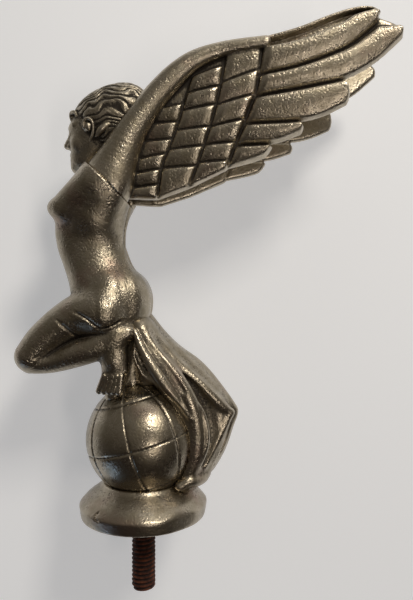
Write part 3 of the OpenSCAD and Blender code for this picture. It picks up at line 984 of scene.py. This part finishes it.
def base():
    low, high = node_mm("base")
    clay = Clay(low - 1.5, high + (1.5, 1.5, 4), 0.36)
    clay.add(([-22, -22, -1], [22, 22, 13], plinth_distance))
    clay.cut(ball(GLOBE_MID, GLOBE_R + SEAT_GAP), 0.3)
    # A worn flat on the rim's left
    turn = math.radians(42)
    clay.everywhere(lambda d, x, y, z: -smooth_min(
        -d, 20.6 - math.cos(turn) * x - math.sin(turn) * y, 1.0))
    # Casting flaws: a rough gap under the globe's front, and a ring-shaped dent on the rim
    rng = np.random.default_rng(11)
    for _ in range(16):
        y, drop = rng.uniform(-3.6, 0.4), rng.uniform(0, 1) ** 2
        clay.cut(ball([14.2 + 2.6 * drop, y, 11.4 - 2.8 * drop], rng.uniform(0.35, 0.8)), 0.2)

    def dent(x, y, z):
        away = np.sqrt((x - 17.0) ** 2 + (y + 12.2) ** 2 + (z - 5.3) ** 2)
        return np.abs(away - 1.5) - 0.2 + 0.6 * step(-12.2, -10.6, y)

    clay.cut(([15, -14, 3], [19, -10, 8], dent), 0.3)
    clay.everywhere(lambda d, x, y, z: d + 0.08 * soft_noise(d.shape, 14, 3) * step(0.5, 2.5, z))
    metal = worn_nickel("nickel_plinth", rough=0.31, grain=0.6)
    cast("plinth_casting", ["base"], clay, metal)


# The globe's parallels and meridians: spacing in degrees, and section in millimetres
LAT_STEP = 47
LON_STEP = 45
LON_SHIFT = 28.5
LINE_DEEP = 0.42
LINE_WIDE = 0.26


def globe():
    low, high = node_mm("globe")
    clay = Clay(low - 1, high + 1, 0.36)
    tilt = math.radians(15.5)
    stray = soft_noise(clay.d.shape, 24, 8)

    def ball_with_lines(x, y, z):
        u, v, w = x, y - GLOBE_MID[1], z - GLOBE_MID[2]
        r = np.sqrt(u * u + v * v + w * w)
        v, w = v * math.cos(tilt) + w * math.sin(tilt), w * math.cos(tilt) - v * math.sin(tilt)
        lat = np.degrees(np.arcsin(np.clip(w / np.maximum(r, 1), -1, 1)))
        lon = np.degrees(np.arctan2(v, u + 0 * w))
        to_lat = np.radians(np.abs((lat + LAT_STEP / 2) % LAT_STEP - LAT_STEP / 2)) * GLOBE_R
        to_lon = np.radians(np.abs((lon + LON_SHIFT) % LON_STEP - LON_STEP / 2)) * GLOBE_R
        to_lon = to_lon * np.cos(np.radians(lat))
        near = np.minimum(to_lat, to_lon)
        return r - GLOBE_R + LINE_DEEP * np.exp(-(near / LINE_WIDE) ** 2) + 0.06 * stray

    clay.add((low - 1, high + 1, ball_with_lines))
    metal = worn_nickel("nickel_globe", rough=0.27, grain=0.4)
    cast("globe_casting", ["globe"], clay, metal)


THREAD_PITCH = 25.4 / 18
THREAD_DEPTH = 0.78
AROUND = 80
RINGS_PER_PITCH = 12
SHANK_R = 3.18


def stud():
    """The threaded stud: rings of points whose radius follows a helical thread."""
    low, high = node_mm("stud")
    crest = high[0] - 0.03
    top = 0.0
    rings = int(round((top - low[2]) / THREAD_PITCH * RINGS_PER_PITCH))
    z = np.repeat(np.linspace(low[2], top, rings + 1), AROUND)
    turn = np.tile(np.arange(AROUND) / AROUND, rings + 1)
    phase = (z / THREAD_PITCH - turn) % 1
    notch = np.clip(1.3 * np.abs(2 * phase - 1) - 0.15, 0, 1)
    angle = 2 * np.pi * turn
    pitting = 0.05 * np.sin(5 * angle + 3 * z) * np.sin(2.3 * z + 3 * angle)
    end = np.clip(1 - (z - low[2]) / 1.4, 0, 1) ** 2
    r = np.minimum(crest - THREAD_DEPTH * notch + pitting, crest) - 1.2 * end
    for z_shank in (top, high[2]):
        z = np.append(z, np.full(AROUND, z_shank))
        r = np.append(r, np.full(AROUND, SHANK_R))
        angle = np.append(angle, 2 * np.pi * np.arange(AROUND) / AROUND)
        notch = np.append(notch, np.zeros(AROUND))
    place = np.stack([r * np.cos(angle), r * np.sin(angle), z], 1)
    place = np.vstack([place, [[0, 0, low[2]], [0, 0, high[2]]]])
    quads = []
    for i in range(rings + 2):
        for j in range(AROUND):
            k = (j + 1) % AROUND
            quads.append([i * AROUND + j, i * AROUND + k, (i + 1) * AROUND + k,
                          (i + 1) * AROUND + j])
    last = (rings + 2) * AROUND
    for j in range(0, AROUND, 2):
        a, b, c = j, j + 1, (j + 2) % AROUND
        quads.append([len(place) - 2, c, b, a])
        quads.append([len(place) - 1, last + a, last + b, last + c])
    fine = np.append(-0.5 * notch, [0, 0])
    piece("threaded_stud", ["stud"], place, np.array(quads), {"fine": fine}, rusty_steel())


def pins():
    """The hidden pins stay as the CAD made them, in brass."""
    brass = drawn_brass()
    for name in ("shoulder_dowels", "neck_dowel", "foot_pins"):
        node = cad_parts[name]
        node.data.materials.clear()
        node.data.materials.append(brass)


# ---------------------------------------------------------------- stage, light and camera

WALL_X = -0.034
WALL_COLOUR = (0.755, 0.765, 0.785)
WALL_GLOW = 0.46


def table_paint():
    """The pale sheet's paint, which is clear from behind, so that it hides nothing."""
    material, add, put = nodes_of("table_paint")
    tree = material.node_tree
    where = add("TexCoord").outputs["Object"]
    cloud = add("TexNoise", Vector=where, Scale=3.0, Detail=2.0).outputs["Fac"]
    tone = ramp(add, cloud, [(0.3, [0.96 * c for c in WALL_COLOUR]), (0.7, WALL_COLOUR)])
    put("Base Color", tone)
    put("Roughness", 0.8)
    put("Emission Color", tone)
    put("Emission Strength", WALL_GLOW)
    behind = add("NewGeometry").outputs["Backfacing"]
    paint = tree.nodes["Principled BSDF"].outputs[0]
    seen = add("MixShader", i0=behind, i1=paint, i2=add("BsdfTransparent").outputs[0])
    tree.links.new(seen.outputs[0], tree.nodes["Material Output"].inputs[0])
    return material


def stage():
    """The pale sheet on the figure's right, which takes the ornament's shadow."""
    mesh = bpy.data.meshes.new("table")
    mesh.from_pydata([(WALL_X, -0.6, -0.5), (WALL_X, 0.6, -0.5), (WALL_X, 0.6, 0.7),
                      (WALL_X, -0.6, 0.7)], [], [(0, 1, 2, 3)])
    made = bpy.data.objects.new("table", mesh)
    bpy.context.scene.collection.objects.link(made)
    made.data.materials.append(table_paint())


def aim(thing, target):
    """Turns a lamp or the camera towards a place."""
    towards = Vector(target) - thing.location
    thing.rotation_euler = towards.to_track_quat("-Z", "Y").to_euler()


def lamp(name, at, target, size, power, colour):
    """A rectangular area lamp; places and size in metres, power in watts."""
    data = bpy.data.lights.new(name, "AREA")
    data.shape = "RECTANGLE"
    data.size, data.size_y = size
    data.energy = power
    data.color = colour
    made = bpy.data.objects.new(name, data)
    made.location = at
    bpy.context.scene.collection.objects.link(made)
    aim(made, target)


def lights():
    middle = (0, 0.02, 0.07)
    lamp("key", (0.45, 0.26, 0.50), middle, (0.12, 0.18), 1.75, (1.0, 0.93, 0.82))
    lamp("side", (0.50, 0.21, -0.04), (0, 0.0, 0.09), (0.05, 0.20), 0.34, (1.0, 0.90, 0.80))
    lamp("window", (0.06, -0.40, -0.38), middle, (0.12, 0.16), 0.09, (0.45, 0.66, 1.0))
    lamp("back", (-0.02, 0.10, 0.70), middle, (0.5, 0.5), 0.6, (1.0, 0.97, 0.93))


def room():
    """A dim room: dark and warm low down, paler towards the ceiling."""
    world = bpy.data.worlds.new("room")
    tree, add = tree_of(world)
    up = add("SeparateXYZ", i0=add("TexCoord").outputs["Generated"]).outputs[2]
    tone = ramp(add, add("MapRange", i0=up, i1=-1).outputs[0],
                [(0.30, (0.030, 0.024, 0.020)), (0.52, (0.10, 0.088, 0.074)),
                 (0.80, (0.17, 0.158, 0.14))])
    tree.links.new(tone, tree.nodes["Background"].inputs[0])
    bpy.context.scene.world = world
    bpy.context.scene.view_settings.view_transform = "Standard"


# The camera's distance, the height of the view there, and the y and z that it looks at, in metres
DISTANCE = 0.185
FRAME_H = 0.2016
LOOK_Y, LOOK_Z = 0.0211, 0.0712


def camera():
    """Square on to the figure's left side, and close by."""
    data = bpy.data.cameras.new("camera")
    data.sensor_fit = "VERTICAL"
    data.sensor_height = 24
    data.sensor_width = 36
    data.lens = data.sensor_height * DISTANCE / FRAME_H
    data.clip_start = 0.01
    made = bpy.data.objects.new("camera", data)
    made.location = (DISTANCE, LOOK_Y, LOOK_Z)
    bpy.context.scene.collection.objects.link(made)
    aim(made, (0, LOOK_Y, LOOK_Z))
    bpy.context.scene.camera = made


# ---------------------------------------------------------------- the whole

camera()
lights()
room()
stage()
figure()
head()
wings()
drapery()
globe()
base()
stud()
pins()
